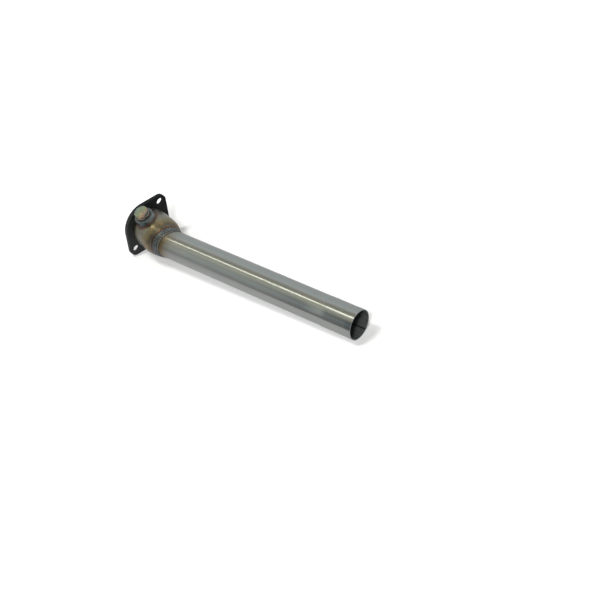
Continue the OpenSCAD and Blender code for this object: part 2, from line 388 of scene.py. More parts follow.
# Bead between the dome and the tube: a wide run over the joint, a shallow valley and a narrow run
def build_tube_weld():
    count = 900
    turn = full_turn(count)
    ray = np.cos(turn)[:, None] * joint_cross + np.sin(turn)[:, None] * UP
    jitter = 0.30 * np.sin(5 * turn + 1.0) + 0.22 * np.sin(11 * turn + 0.4) + 0.15 * np.sin(23 * turn)
    # the runs lie a little further along the tube than the CAD's, as in the photograph
    start_shift = 0.6
    end_shift = 0.9
    toe_shift = 1.0
    valley_w = 1.4
    valley_h = 0.12
    main_ripples = 46
    toe_ripples = 62
    main_start = -seam_dome_w + start_shift
    main_end = seam_tube_w + end_shift
    valley = main_end + valley_w
    far_toe = seam_tube_w + toe_w + toe_shift

    def ground(z):
        centre = joint_point + z[:, None] * joint_dir
        dome = body_hit(joint_point + np.minimum(z, 0.0)[:, None] * joint_dir, ray, joint_mouth_r)
        tube = tube_hit(centre, ray, tube_r)
        share = np.clip((z + 1.0) / 4.0, 0, 1)
        share = share * share * (3 - 2 * share)
        return dome * (1 - share) + tube * share

    rows = []
    waves = []

    def add_row(z, height, wave):
        rows.append(joint_point + z[:, None] * joint_dir + (ground(z) + height)[:, None] * ray)
        waves.append(wave)

    for x in np.linspace(-1, 1, 29):
        middle = (main_end + main_start) / 2
        half = (main_end - main_start) / 2
        z = middle + half * x + 0.8 * jitter * abs(x) ** 6
        wave = ripple(turn, (x + 1) / 2, main_ripples, 0.3)
        crown = (seam_h - 0.1) * (1 - abs(x) ** 2.6)
        low = valley_h if x == 1 else 0.0
        add_row(z, crown + 0.5 * (wave - 0.5) * (1 - abs(x) ** 4) + low, wave)
    for x in np.linspace(0.25, 1.0, 4):
        z = main_end + 0.8 * jitter + (valley - main_end - 0.3 * jitter) * x
        add_row(z, np.full(count, valley_h), np.full(count, 0.5))
    for x in np.linspace(0.12, 1.0, 9):
        z = valley + 0.5 * jitter * (1 - x) + (far_toe - valley) * x
        wave = ripple(turn, x, toe_ripples, 1.7)
        height = toe_h * math.sin(math.pi * x) ** 0.6 + 0.16 * wave * math.sin(math.pi * x)
        add_row(z, np.full(count, 0.02) + height, wave)
    dome_r = body_hit(np.tile(joint_point, (count, 1)), ray, joint_mouth_r)
    # the bead's underside lies on the metal, with the joint's step in it
    under = (
        (far_toe, "tube"), (seam_tube_w, "tube"), (0.02, "tube"), (0.02, "dome"),
        (main_start * 0.5, "dome"))
    for z, metal in under:
        centre = np.tile(joint_point + z * joint_dir, (count, 1))
        r = tube_hit(centre, ray, tube_r) if metal == "tube" else body_hit(
            joint_point + min(z, 0.0) * joint_dir + np.zeros((count, 3)), ray, dome_r[0])
        rows.append(joint_point + z * joint_dir + r[:, None] * ray)
        waves.append(np.zeros(count))
    piece = add_piece("tube_weld_look", np.concatenate(rows), grid_faces(len(rows), count), 60)
    record_levels(piece, "wave", np.concatenate(waves))
    return piece


# Fillet bead round a corner, from one toe to the other
def build_fillet(name, corner, toe_a, toe_b, swell, turn, ripples, seed, height):
    rows = []
    waves = []
    out = (toe_a + toe_b) / 2 - corner
    out = out / np.linalg.norm(out, axis=1)[:, None]
    for share in np.linspace(0, 1, 12):
        wave = ripple(turn, share, ripples, seed)
        lift = (swell + height * wave) * math.sin(math.pi * share)
        rows.append(toe_a + share * (toe_b - toe_a) + out * lift[:, None])
        waves.append(wave)
    rows.append(corner)
    waves.append(np.zeros(len(turn)))
    piece = add_piece(name, np.concatenate(rows), grid_faces(len(rows), len(turn)), 60)
    record_levels(piece, "wave", np.concatenate(waves))
    return piece


# Bead in the corner of the flange's face and the body, on slightly uneven legs
def build_flange_weld():
    count = 720
    ripples = 48
    height = 0.28
    turn = full_turn(count)
    ray = np.stack([np.zeros(count), np.cos(turn), np.sin(turn)], 1)
    base = np.tile(body_start, (count, 1))
    leg = flange_leg * (1 + 0.08 * np.sin(4 * turn) + 0.05 * np.sin(9 * turn) - 0.13)
    front = base + leg[:, None] * AHEAD
    corner = base + body_hit(base, ray, mouth_r)[:, None] * ray
    toe_plate = corner + leg[:, None] * ray
    toe_body = front + body_hit(front, ray, mouth_r)[:, None] * ray
    return build_fillet(
        "flange_weld_look", corner, toe_plate, toe_body, flange_leg / 5, turn, ripples, 0.9, height)


# Bead round the boss's foot, which follows the barrel's curve
def build_boss_weld():
    count = 540
    ripples = 30
    height = 0.26
    turn = full_turn(count)
    around = round_axis(boss_dir, body_dir, count)

    def low(r):
        return np.sqrt(body_radius(boss_at + r * np.cos(turn)) ** 2 - (r * np.sin(turn)) ** 2)

    leg = boss_leg * (1 + 0.10 * np.sin(3 * turn + 1.2) - 0.10)
    outer = boss_r + leg
    corner = boss_foot + boss_r * around + low(boss_r)[:, None] * boss_dir
    toe_boss = corner + leg[:, None] * boss_dir
    toe_body = boss_foot + outer[:, None] * around + low(outer)[:, None] * boss_dir
    bead = build_fillet(
        "boss_weld_look", corner, toe_boss, toe_body, boss_leg / 5, -turn, ripples, 2.1, height)
    # its rows run the other way round than the flange weld's
    bead.data.flip_normals()
    return bead


# Boss: a round post with a rounded rim, whose foot ends inside the bead
def build_boss():
    top = body_r + boss_h
    low = math.sqrt(body_r ** 2 - boss_r ** 2) - 1.5
    bore = thread_d / 2 + 0.05
    edge = 0.8
    bore_edge = 0.5
    profile = [(low, bore), (low, boss_r)]
    profile += [(h, boss_r) for h in np.linspace(low + 3, top - edge - 0.1, 6)]
    profile += arc(top - edge, boss_r - edge, edge, 90, 0, 7)
    profile += [(top, bore + bore_edge), (top - bore_edge, bore)]
    return revolve("boss_look", profile, boss_foot, boss_dir, body_dir, 192, 50)


# Sealing ring between the boss and the plug, with rounded edges
def build_ring():
    base = body_r + boss_h
    inside = thread_d / 2
    outside = corner_r + 0.6
    edge = 0.35
    profile = [(base, inside), (base, outside - edge)]
    profile += [(base + edge, outside), (base + ring_t - edge, outside)]
    profile += [(base + ring_t, outside - edge), (base + ring_t, inside)]
    return revolve("ring_look", profile, boss_foot, boss_dir, body_dir, 128, 60)


# Plug: a round collar, a hexagon whose top corners a cone cuts back, and a shank in the boss
def build_plug():
    count = 240
    base = body_r + boss_h + ring_t
    turn = full_turn(count)
    around = round_axis(boss_dir, body_dir, count)
    sector = turn % (math.pi / 3) - math.pi / 6
    # the hexagon is a little wider and less cut back than the CAD's, as in the photograph
    wider = 1.02
    top_share = 1.11
    cone_angle = 30
    flats = np.minimum(hex_af / 2 * wider / np.cos(sector), corner_r - 0.2)
    shoulder = base + collar_h
    top = shoulder + hex_h
    top_r = hex_af / 2 * top_share
    slope = math.tan(math.radians(cone_angle))
    collar_edge = 0.9
    soft = 0.12
    rows = []

    def row(h, r):
        rows.append(boss_foot + h * boss_dir + np.reshape(r, (-1, 1)) * around)

    shank = thread_d / 2 - 0.1
    low = base - plug_len - ring_t
    for h, r in ((low, shank - 0.8), (low + 0.8, shank), (base, shank), (base, corner_r - 0.3),
                 (base + 0.1, corner_r - 0.1), (base + 0.3, corner_r)):
        row(h, np.full(count, r))
    for h, r in arc(shoulder - collar_edge, corner_r - collar_edge, collar_edge, 90, 30, 6):
        row(h, np.full(count, r))
    row(shoulder - 0.1, flats + 0.3)
    for h in np.linspace(shoulder + 0.1, top - 1.9, 5):
        row(h, flats)
    for h in np.linspace(top - 1.7, top - 0.02, 14):
        cone = top_r + (top - h) / slope
        row(h, -soft * np.log(np.exp(-flats / soft) + np.exp(-cone / soft)))
    for r in (top_r - 0.25, top_r * 0.6):
        row(top, np.full(count, r))
    last = (len(rows) - 1) * count
    caps = [tuple(range(count - 1, -1, -1)), tuple(range(last, last + count))]
    return add_piece("plug_look", np.concatenate(rows), grid_faces(len(rows), count, False) + caps, 35)


# A point on the body's outside and its outward direction, turned from the top towards -Y
def body_surface(s, turn_deg):
    t = math.radians(turn_deg)
    out = math.cos(t) * UP - math.sin(t) * body_side
    return body_start + s * body_dir + float(body_radius(s)) * out, out


# Weld spatter: small squashed drops that sit on the steel
def build_spatter(name, drops):
    points = []
    faces = []
    rng = np.random.default_rng(7)
    rings = 6
    count = 20
    uneven = 0.16
    sunk = 0.25
    for spot, out, size, height in drops:
        a = np.cross(out, body_dir)
        a = a / np.linalg.norm(a)
        b = np.cross(out, a)
        base = len(points)
        wobble = 1 + uneven * rng.standard_normal(count)
        wobble = (wobble + np.roll(wobble, 1) + np.roll(wobble, -1)) / 3
        for i in range(rings):
            tilt = math.pi / 2 * i / rings
            for j in range(count):
                t = 2 * math.pi * j / count
                r = size * math.cos(tilt) * (1 + (wobble[j] - 1) * math.cos(tilt))
                flat = r * (math.cos(t) * a + math.sin(t) * b)
                points.append(spot + flat + (height * math.sin(tilt) - sunk * (i == 0)) * out)
        for i in range(rings - 1):
            for j in range(count):
                k = (j + 1) % count
                faces.append((base + i * count + j, base + i * count + k,
                              base + (i + 1) * count + k, base + (i + 1) * count + j))
        # a point closes the drop above, and a flat face inside the steel closes it below
        last = base + (rings - 1) * count
        faces += [(last + j, last + (j + 1) % count, len(points)) for j in range(count)]
        faces.append(tuple(range(base + count - 1, base - 1, -1)))
        points.append(spot + height * out)
    return add_piece(name, points, faces, 80)


flange = build_flange()
body = build_body()
tube = build_tube()
tube_weld = build_tube_weld()
flange_weld = build_flange_weld()
boss_weld = build_boss_weld()
boss = build_boss()
ring = build_ring()
plug = build_plug()

# Painted highlight on the body, a pale gold spot in its colour: distance from the flange and turn from
# the top
painted_highlight_spot = (47.0, 23.2)

# Each drop: distance from the flange, turn from the top, radius and height
spatter_spots = (
    (19.8, 54.8, 0.9, 0.5), (44.5, 8.0, 0.5, 0.3), (27.0, 60.0, 0.5, 0.3), (47.0, 36.0, 0.45, 0.3),
    (33.0, 74.0, 0.6, 0.35), (15.0, 66.0, 0.5, 0.3), (43.0, -38.0, 0.5, 0.3), (30.0, 130.0, 0.6, 0.35),
)
drops = []
for s, t, size, height in spatter_spots:
    spot, out = body_surface(s, t)
    drops.append((spot, out, size, height))
spatter = build_spatter("weld_spatter", drops)

pieces = (
    (flange, "flange_plate", "black_flange"),
    (body, "domed_body", "tinted_steel"),
    (tube, "straight_tube", "satin_steel"),
    (tube_weld, "tube_weld", "grey_weld"),
    (flange_weld, "flange_weld", "dark_weld"),
    (boss_weld, "boss_weld", "dark_weld"),
    (boss, "sensor_boss", "boss_steel"),
    (ring, "sealing_ring", "ring_metal"),
    (plug, "hex_plug", "plated_plug"),
)
for piece, node, slot in pieces:
    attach(piece, "root")
    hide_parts(node)
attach(spatter, "root")

record_places(flange, np.zeros(3), AHEAD, UP)
record_places(flange_weld, body_start, AHEAD, UP)
record_places(tube, bend_point, tube_dir, UP)
record_places(tube_weld, joint_point, joint_dir, UP)
for piece in (body, spatter):
    record_places(piece, body_start, body_dir, UP)
for piece in (boss_weld, boss, ring, plug):
    record_places(piece, boss_foot, boss_dir, body_dir)


class Nodes:
    """Helpers that make shader nodes read as sums."""

    def __init__(self, tree, output):
        self.tree = tree
        self.tree.nodes.clear()
        self.output = self.add(output)

    def add(self, kind, operation=None):
        node = self.tree.nodes.new("ShaderNode" + kind)
        if operation:
            node.operation = operation
        return node

    def join(self, value, socket):
        if isinstance(value, bpy.types.NodeSocket):
            self.tree.links.new(value, socket)
        elif isinstance(value, tuple) and socket.type == "RGBA":
            socket.default_value = (*value, 1.0)
        else:
            socket.default_value = value

    def math(self, kind, a, b=0.0):
        node = self.add("Math", kind)
        self.join(a, node.inputs[0])
        self.join(b, node.inputs[1])
        return node.outputs[0]

    def ramp(self, value, stops):
        """A colour or level for each value: stops are (value, colour)."""
        low = stops[0][0]
        high = stops[-1][0]
        spread = self.add("MapRange")
        self.join(value, spread.inputs[0])
        spread.inputs[1].default_value = low
        spread.inputs[2].default_value = high
        node = self.add("ValToRGB")
        self.join(spread.outputs[0], node.inputs[0])
        elements = node.color_ramp.elements
        while len(elements) < len(stops):
            elements.new(0.5)
        for element, (at, colour) in zip(elements, stops):
            element.position = (at - low) / (high - low)
            shade = colour if isinstance(colour, tuple) else (colour,) * 3
            element.color = (*shade, 1.0)
        return node.outputs[0]

    def mix(self, share, a, b):
        node = self.add("Mix")
        node.data_type = "RGBA"
        for value, socket in ((share, node.inputs[0]), (a, node.inputs[6]), (b, node.inputs[7])):
            self.join((value,) * 3 if isinstance(value, float) else value, socket)
        return node.outputs[2]


class Finish(Nodes):
    """A piece's material, which reads the piece's stored places and levels."""

    def __init__(self, name):
        self.material = bpy.data.materials.new(name)
        self.material.use_nodes = True
        super().__init__(self.material.node_tree, "OutputMaterial")
        self.shader = self.add("BsdfPrincipled")
        self.join(self.shader.outputs[0], self.output.inputs[0])

    def stored(self, name, part="Vector"):
        node = self.add("Attribute")
        node.attribute_name = name
        return node.outputs[part]

    def along(self, direction, offset=0.0):
        """The place's distance in a direction given in its own three parts, from an offset."""
        node = self.add("VectorMath", "DOT_PRODUCT")
        self.join(self.stored("place"), node.inputs[0])
        node.inputs[1].default_value = tuple(float(part) for part in direction)
        return self.math("ADD", node.outputs["Value"], float(offset))

    def square(self, direction, offset=0.0):
        value = self.along(direction, offset)
        return self.math("MULTIPLY", value, value)

    def noise(self, scale, detail=3.0, rough=0.5, shift=0.0):
        """Noise with so many lumps a millimetre, or a scale for each direction of the place."""
        scaled = self.add("VectorMath", "MULTIPLY")
        self.join(self.stored("place"), scaled.inputs[0])
        scaled.inputs[1].default_value = scale if isinstance(scale, tuple) else (scale,) * 3
        moved = self.add("VectorMath", "ADD")
        self.join(scaled.outputs[0], moved.inputs[0])
        moved.inputs[1].default_value = (shift,) * 3
        node = self.add("TexNoise")
        self.join(moved.outputs[0], node.inputs["Vector"])
        node.inputs["Scale"].default_value = 1.0
        node.inputs["Detail"].default_value = detail
        node.inputs["Roughness"].default_value = rough
        return node.outputs[0]

    def wobble(self, value, noise, amount):
        """A value moved by noise, up to about half the amount each way."""
        return self.math("ADD", value, self.math("MULTIPLY", self.math("SUBTRACT", noise, 0.5), amount))

    def bump(self, height, strength, distance):
        node = self.add("Bump")
        node.inputs["Strength"].default_value = strength
        node.inputs["Distance"].default_value = distance
        self.join(height, node.inputs["Height"])
        return node.outputs[0]

    def finish(self, colour, rough, metal, normal=None, specular=0.5):
        sockets = self.shader.inputs
        self.join(colour, sockets["Base Color"])
        self.join(rough, sockets["Roughness"])
        self.join(metal, sockets["Metallic"])
        sockets["Specular IOR Level"].default_value = specular
        if normal is not None:
            self.join(normal, sockets["Normal"])
        return self.material


class Room(Nodes):
    """The floor's or the world's nodes, which show one level to the camera and another in metal."""

    def __init__(self, tree, output):
        super().__init__(tree, output)
        self.path = self.add("LightPath")

    def choose(self, share, a, b):
        node = self.add("MixShader")
        for value, socket in zip((share, a, b), node.inputs):
            self.join(value, socket)
        return node.outputs[0]


# Distance past the joint's plane of a place that is kept along and across an axis
def joint_distance(n, start, along):
    side = np.cross(along, UP)
    parts = (along @ joint_dir, 0.0, side @ joint_dir)
    return n.along(parts, (start - joint_point) @ joint_dir)


# Tube: satin steel with a lengthwise grain, straw-tinted and duller near the bead, and a dark inside
def tube_material():
    n = Finish("satin_tube")
    grain = n.noise((0.03, 2.0, 2.0), 4.0, 0.6)
    cloud = n.noise((0.02, 0.08, 0.08))
    steel = n.mix(n.ramp(cloud, ((0.3, 0.0), (0.7, 1.0))), (0.375, 0.395, 0.388), (0.42, 0.425, 0.408))
    steel = n.mix(n.ramp(grain, ((0.35, 0.0), (0.65, 0.12))), steel, (0.30, 0.30, 0.29))
    past = n.wobble(joint_distance(n, bend_point, tube_dir), n.noise(0.16), 3.0)
    tint = n.ramp(past, ((10.0, 1.0), (14.0, 0.9), (20.0, 0.5), (32.0, 0.12), (60.0, 0.0)))
    low = n.ramp(n.along((0.0, 1.0, -0.6)), ((6.0, 1.0), (27.0, 0.45)))
    steel = n.mix(n.math("MULTIPLY", tint, low), steel, (0.20, 0.137, 0.06))
    radius = n.math("SQRT", n.math("ADD", n.square((0.0, 1.0, 0.0)), n.square((0.0, 0.0, 1.0))))
    outside = n.ramp(radius, ((tube_r - 0.9, 0.0), (tube_r - 0.4, 1.0)))
    scale = n.ramp(n.noise((0.05, 0.3, 0.3), 4.0, 0.6), ((0.35, 0.0), (0.65, 1.0)))
    inside = n.mix(scale, (0.060, 0.074, 0.074), (0.115, 0.118, 0.114))
    seam = math.radians(seam_turn)
    off = n.math("ABSOLUTE", n.along((0.0, -math.sin(seam), math.cos(seam))))
    facing = n.ramp(n.along((0.0, math.cos(seam), math.sin(seam))), ((0.0, 0.0), (2.0, 1.0)))
    line = n.math("MULTIPLY", facing, n.ramp(off, ((0.5, 0.9), (1.6, 0.0))))
    inside = n.mix(line, inside, (0.006, 0.007, 0.008))
    steel = n.mix(outside, inside, steel)
    rough = n.mix(outside, 0.5, n.ramp(grain, ((0.3, 0.14), (0.7, 0.19))))
    dull = n.ramp(past, ((11.0, 1.0), (16.0, 0.55), (24.0, 0.2), (36.0, 0.0)))
    rough = n.mix(n.math("MULTIPLY", dull, outside), rough, 0.36)
    metal = n.math("ADD", 0.25, n.math("MULTIPLY", outside, 0.75))
    return n.finish(steel, rough, metal, n.bump(grain, 0.10, 0.00002))


# Body: grey-olive steel whose tint darkens towards the tube's bead, with thin lines beside both beads and
# a painted highlight spot
def body_material():
    n = Finish("heat_tinted_body")
    cloud = n.noise(0.06, 4.0, 0.55)
    fine = n.noise(0.5, 4.0, 0.6)
    near = n.wobble(joint_distance(n, body_start, body_dir), cloud, 5.0)
    near = n.wobble(near, fine, 0.8)
    tint = n.ramp(near, (
        (-68.0, (0.24, 0.19, 0.13)), (-58.0, (0.31, 0.27, 0.205)), (-34.0, (0.37, 0.35, 0.295)),
        (-26.0, (0.335, 0.305, 0.225)), (-18.0, (0.29, 0.245, 0.15)), (-13.0, (0.185, 0.145, 0.095)),
        (-9.2, (0.145, 0.112, 0.078)), (-8.2, (0.115, 0.105, 0.09)), (-7.2, (0.25, 0.24, 0.195)),
        (-6.0, (0.12, 0.09, 0.07)), (-4.9, (0.10, 0.062, 0.045)), (-3.8, (0.085, 0.05, 0.038)),
        (-3.0, (0.10, 0.055, 0.035))))
    # rust shows beside the bead at the top only
    up_side = n.ramp(n.wobble(n.along((0.0, 1.0, 0.0)), cloud, 8.0), ((9.0, 0.0), (17.0, 1.0)))
    rust = n.math("MULTIPLY", up_side, n.ramp(near, ((-5.4, 0.0), (-4.7, 0.9), (-4.0, 0.9), (-3.3, 0.1))))
    tint = n.mix(rust, tint, (0.24, 0.115, 0.055))
    patches = n.ramp(n.noise(0.045, 2.0, 0.5, 3.0), ((0.42, 0.0), (0.58, 0.85)))
    early = n.ramp(near, ((-34.0, 1.0), (-22.0, 0.0)))
    colour = n.mix(n.math("MULTIPLY", patches, early), tint, (0.355, 0.35, 0.315))
    mottle = n.ramp(n.noise(0.22, 4.0, 0.6), ((0.38, 0.0), (0.66, 0.35)))
    colour = n.mix(mottle, colour, (0.20, 0.165, 0.12))
    spot, _ = body_surface(*painted_highlight_spot)
    centre = spot - body_start
    offs = (n.square((1.0, 0.0, 0.0), -(centre @ body_dir)), n.square((0.0, 1.0, 0.0), -(centre @ UP)),
            n.square((0.0, 0.0, 1.0), -(centre @ np.cross(body_dir, UP))))
    apart = n.math("SQRT", n.math("ADD", n.math("ADD", offs[0], offs[1]), offs[2]))
    # faint marks round the axis, and warm patches on the side towards the tube
    turned = n.ramp(n.noise((0.9, 0.03, 0.03), 3.0, 0.6), ((0.40, 0.0), (0.62, 0.30)))
    colour = n.mix(turned, colour, (0.17, 0.15, 0.10))
    warm = n.ramp(n.noise(0.11, 3.0, 0.55, 9.0), ((0.48, 0.0), (0.62, 0.6)))
    warm = n.math("MULTIPLY", warm, n.ramp(near, ((-34.0, 0.0), (-24.0, 1.0), (-12.0, 1.0), (-8.0, 0.0))))
    colour = n.mix(warm, colour, (0.36, 0.26, 0.13))
    # painted highlight: a pale gold spot painted round the bright place, fading out within a few
    # millimetres
    lit = n.ramp(n.wobble(apart, fine, 1.0), ((1.2, 0.75), (3.6, 0.0)))
    colour = n.mix(lit, colour, (0.51, 0.45, 0.30))
    roll = math.radians(boss_roll)
    across = n.square((0.0, -math.sin(roll), math.cos(roll)))
    spread = n.math("SQRT", n.math("ADD", across, n.square((1.0, 0.0, 0.0), -boss_at)))
    upper = n.ramp(n.along((0.0, math.cos(roll), math.sin(roll))), ((0.0, 0.0), (2.0, 1.0)))
    foot = n.wobble(spread, fine, 1.2)
    toe = boss_r + boss_leg
    halo = n.math("MULTIPLY", upper, n.ramp(foot, ((toe, 0.9), (toe + 1.2, 0.55), (toe + 4.0, 0.0))))
    colour = n.mix(halo, colour, (0.16, 0.10, 0.07))
    line = n.math("MULTIPLY", upper, n.ramp(foot, (
        (toe - 0.2, 0.0), (toe + 0.1, 0.9), (toe + 0.7, 0.7), (toe + 1.3, 0.0))))
    line = n.math("MULTIPLY", line, n.ramp(n.noise(0.13, 2.0, 0.5, 5.0), ((0.40, 0.15), (0.60, 1.0))))
    colour = n.mix(line, colour, (0.30, 0.075, 0.03))
    mouth = n.ramp(n.along((1.0, 0.0, 0.0)), ((1.8, 0.0), (2.2, 0.8), (3.6, 0.8), (4.8, 0.0)))
    colour = n.mix(mouth, colour, (0.48, 0.40, 0.29))
    rough = n.ramp(fine, ((0.3, 0.28), (0.7, 0.42)))
    return n.finish(colour, rough, 1.0, n.bump(fine, 0.25, 0.00006))


# Tube's bead: blue-grey main run whose ripples carry painted shade and highlights, a pale tan valley, a
# darker narrow run, and rust at the dome's side
def seam_material():
    n = Finish("grey_bead")
    wave = n.stored("wave", "Fac")
    coarse = n.noise(0.35, 4.0, 0.6)
    fine = n.noise(1.6, 4.0, 0.6)
    z = n.wobble(n.along((1.0, 0.0, 0.0)), coarse, 0.8)
    # the ripples are painted darker in their hollows and paler on their crests: painted shade and painted
    # highlight
    main = n.ramp(wave, (
        (0.0, (0.035, 0.037, 0.04)), (0.45, (0.145, 0.162, 0.168)), (1.0, (0.26, 0.28, 0.285))))
    spots = n.ramp(coarse, ((0.42, 0.0), (0.62, 0.8)))
    main = n.mix(spots, main, (0.085, 0.092, 0.096))
    across = n.ramp(z, (
        (-3.2, (0.08, 0.05, 0.04)), (-2.6, (0.09, 0.05, 0.035)), (-2.0, (0.05, 0.045, 0.042)),
        (4.2, (0.08, 0.08, 0.08)), (4.9, (0.045, 0.045, 0.045)), (5.5, (0.30, 0.285, 0.21)),
        (6.3, (0.33, 0.30, 0.21)), (6.8, (0.06, 0.06, 0.065)), (7.4, (0.155, 0.165, 0.18)),
        (8.8, (0.14, 0.145, 0.155)), (9.5, (0.06, 0.052, 0.045)), (9.9, (0.13, 0.09, 0.05))))
    up_side = n.ramp(n.wobble(n.along((0.0, 1.0, 0.0)), coarse, 6.0), ((9.0, 0.0), (17.0, 1.0)))
    rust = n.math("MULTIPLY", up_side, n.ramp(z, ((-3.4, 0.5), (-2.8, 0.3), (-2.3, 0.0))))
    across = n.mix(rust, across, (0.20, 0.10, 0.05))
    on_main = n.ramp(z, ((-2.1, 0.0), (-1.5, 1.0), (4.2, 1.0), (4.7, 0.0)))
    colour = n.mix(on_main, across, main)
    rough = n.ramp(fine, ((0.3, 0.34), (0.7, 0.55)))
    return n.finish(colour, rough, 0.9, n.bump(fine, 0.5, 0.00012))


# Spatter: drops of the grey bead's metal
def spatter_material():
    n = Finish("spatter_grey")
    coarse = n.noise(0.6, 3.0, 0.6)
    colour = n.mix(n.ramp(coarse, ((0.35, 0.0), (0.65, 1.0))), (0.16, 0.16, 0.16), (0.34, 0.35, 0.36))
    return n.finish(colour, n.ramp(coarse, ((0.3, 0.35), (0.7, 0.55))), 0.9, n.bump(coarse, 0.4, 0.0001))


# Flange's bead: mostly painted black with the plate, brown and bare towards the body
def flange_bead_material():
    n = Finish("dark_bead")
    coarse = n.noise(0.4, 4.0, 0.6)
    fine = n.noise(1.6, 4.0, 0.6)
    ahead = n.wobble(n.along((1.0, 0.0, 0.0)), coarse, 1.2)
    colour = n.ramp(ahead, (
        (0.6, (0.008, 0.008, 0.009)), (1.6, (0.016, 0.013, 0.011)), (2.1, (0.06, 0.035, 0.02)),
        (2.4, (0.22, 0.16, 0.11))))
    metal = n.ramp(ahead, ((1.6, 0.0), (2.3, 0.9)))
    rough = n.ramp(fine, ((0.3, 0.34), (0.7, 0.55)))
    return n.finish(colour, rough, metal, n.bump(fine, 0.5, 0.00012))


# Boss's bead: dark grey ripples painted darker in their hollows and paler on their crests as painted
# shade and highlight, with rust
def boss_bead_material():
    n = Finish("boss_bead")
    wave = n.stored("wave", "Fac")
    coarse = n.noise(0.5, 4.0, 0.6)
    fine = n.noise(1.6, 4.0, 0.6)
    # painted shade and highlight: the ripples darker in their hollows and paler on their crests
    colour = n.mix(n.ramp(wave, ((0.0, 0.0), (1.0, 1.0))), (0.05, 0.045, 0.04), (0.17, 0.165, 0.16))
    stain = n.ramp(coarse, ((0.46, 0.0), (0.60, 0.85)))
    colour = n.mix(stain, colour, (0.26, 0.085, 0.035))
    rough = n.ramp(fine, ((0.3, 0.36), (0.7, 0.58)))
    return n.finish(colour, rough, 0.85, n.bump(fine, 0.5, 0.00012))


# Flange: matt black paint, painted paler towards its lower ear's side as painted light
def paint_material():
    n = Finish("black_paint")
    fine = n.noise(0.9, 5.0, 0.65)
    cloud = n.noise(0.07)
    # painted light: the paint is drawn paler towards the lower ear and darker towards the upper ear
    lower_side_painted_light = n.ramp(n.wobble(n.along((0.0, -0.5, 1.0)), cloud, 40.0), ((-25.0, 0.0), (30.0, 1.0)))
    colour = n.mix(lower_side_painted_light, (0.0035, 0.004, 0.0045), (0.027, 0.029, 0.030))
    specks = n.ramp(n.noise(0.7, 2.0, 0.5, 7.0), ((0.66, 0.0), (0.74, 0.5)))
    colour = n.mix(specks, colour, (0.035, 0.04, 0.042))
    rough = n.ramp(fine, ((0.3, 0.42), (0.7, 0.58)))
    return n.finish(colour, rough, 0.0, n.bump(fine, 0.35, 0.00010), 0.22)


# Boss: dark blue-grey steel with pale streaks on its right side that are painted highlights, and a duller
# top face
def boss_material():
    n = Finish("machined_boss")
    turned = n.noise((2.0, 0.15, 0.15))
    cloud = n.noise(0.2)
    colour = n.mix(n.ramp(cloud, ((0.3, 0.0), (0.7, 1.0))), (0.090, 0.110, 0.113), (0.126, 0.150, 0.154))
    streak = n.ramp(n.noise((0.10, 0.3, 0.3), 2.0), ((0.52, 0.0), (0.72, 0.6)))
    colour = n.mix(streak, colour, (0.15, 0.168, 0.17))
    # painted highlight: pale streaks painted on the right side, where light falls on the post
    side = n.ramp(n.along((0.0, 0.93, 0.36)), ((12.0, 0.0), (14.5, 1.0)))
    patchy = n.noise((0.20, 0.16, 0.16), 2.0, 0.5, 4.0)
    bright = n.math("MULTIPLY", side, n.ramp(patchy, ((0.30, 0.45), (0.62, 0.9))))
    colour = n.mix(bright, colour, (0.56, 0.69, 0.76))
    foot = n.ramp(n.wobble(n.along((1.0, 0.0, 0.0)), cloud, 3.0), ((33.5, 0.75), (36.0, 0.0)))
    colour = n.mix(foot, colour, (0.085, 0.07, 0.06))
    slant = math.sqrt(0.5)
    rear = n.ramp(n.wobble(n.along((0.0, slant, slant)), cloud, 2.0), ((15.2, 0.0), (16.6, 0.7)))
    stain = n.ramp(n.noise(0.12, 2.0, 0.5, 2.0), ((0.3, 0.0), (0.7, 1.0)))
    colour = n.mix(rear, colour, n.mix(stain, (0.15, 0.12, 0.10), (0.24, 0.25, 0.23)))
    top = n.ramp(n.along((1.0, 0.0, 0.0)), ((body_r + boss_h - 0.8, 0.0), (body_r + boss_h - 0.3, 1.0)))
    colour = n.mix(top, colour, (0.083, 0.096, 0.10))
    rough = n.mix(top, n.ramp(turned, ((0.3, 0.30), (0.7, 0.44))), 0.55)
    metal = n.math("SUBTRACT", 1.0, n.math("MULTIPLY", top, 0.75))
    return n.finish(colour, rough, metal, n.bump(turned, 0.3, 0.00005))


# Sealing ring: dull dark metal
def ring_material():
    n = Finish("ring_metal")
    cloud = n.noise(0.4)
    colour = n.mix(cloud, (0.05, 0.043, 0.036), (0.11, 0.095, 0.08))
    return n.finish(colour, n.ramp(cloud, ((0.3, 0.35), (0.7, 0.55))), 0.7)
